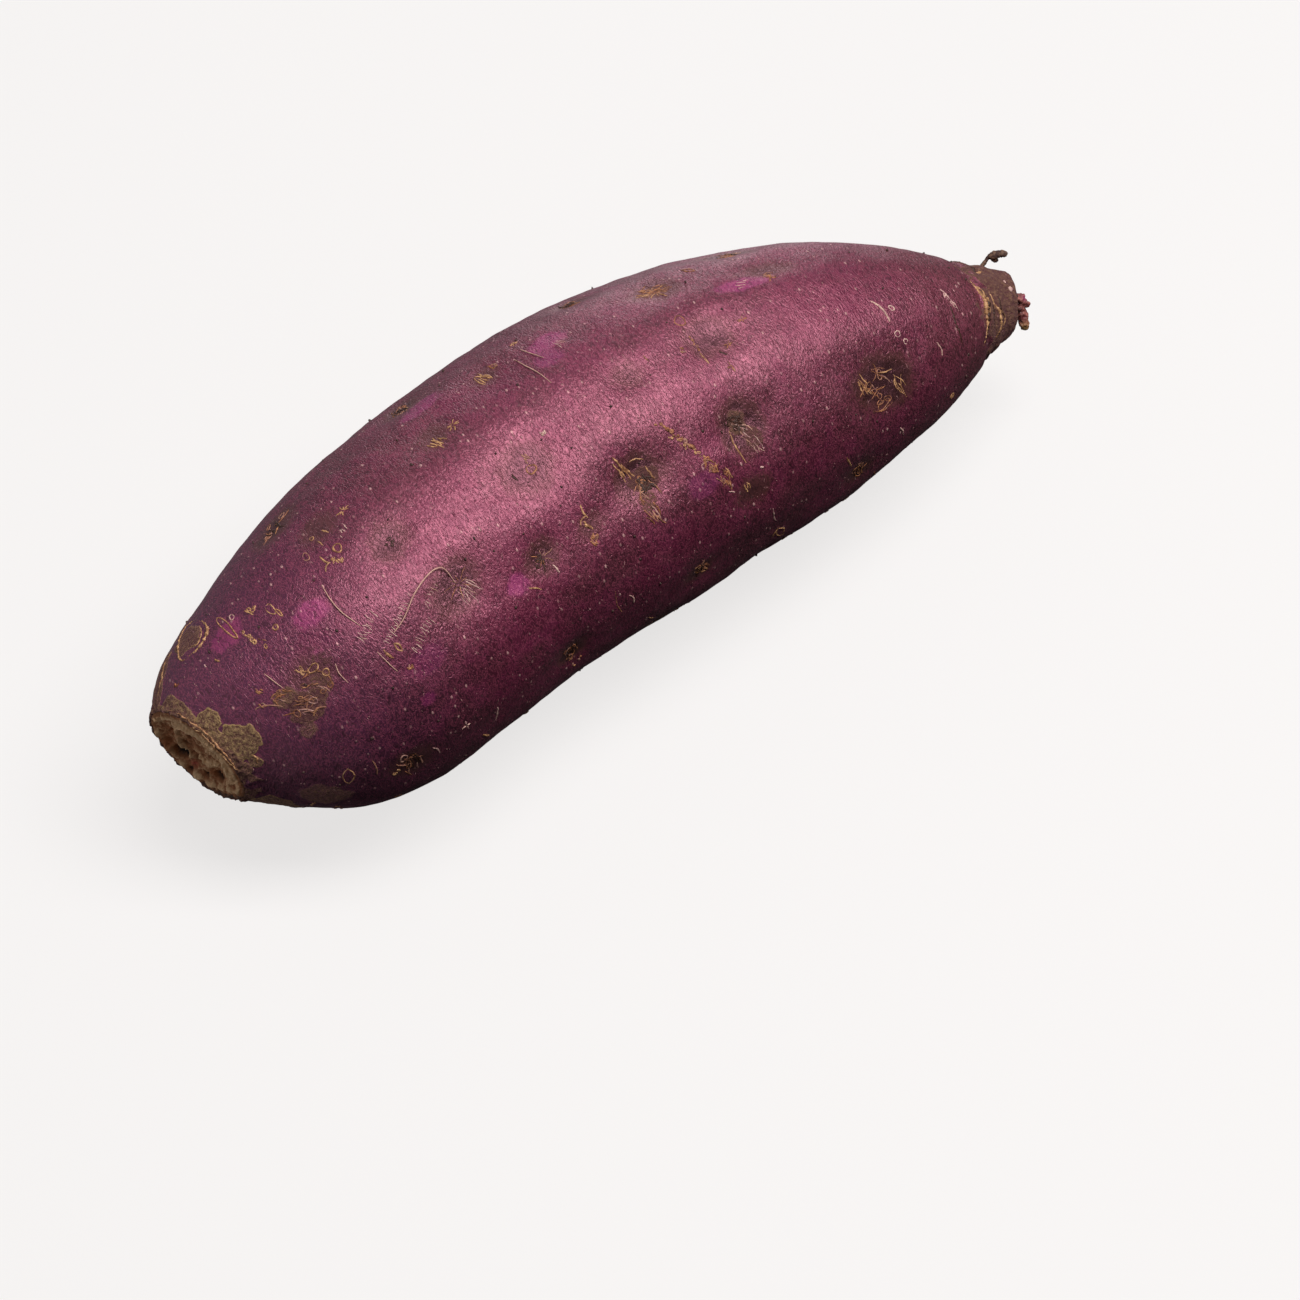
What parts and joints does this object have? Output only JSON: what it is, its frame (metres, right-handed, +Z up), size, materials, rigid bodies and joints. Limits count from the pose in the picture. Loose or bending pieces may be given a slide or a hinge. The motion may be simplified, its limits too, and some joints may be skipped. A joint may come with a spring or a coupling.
{
  "type": "purple sweet potato",
  "caption": "Whole purple sweet potato lying on its side: a bowed, tapering root with shallow eyes, a dried stem scar, a corky tip and a thin rootlet.",
  "frame": {"origin": "under the middle of the root's bounding box, on the surface that it lies on", "axes": "+X along the root from the stem scar to the tip, +Z up, the root bowed toward +Y"},
  "size_m": [0.1767, 0.0629, 0.0575],
  "materials": {
    "skin": "satin",
    "cork": "matte",
    "torn_flesh": "satin"
  },
  "bodies": {
    "root": {"sweet_potato": "skin"}
  },
  "joints": []
}
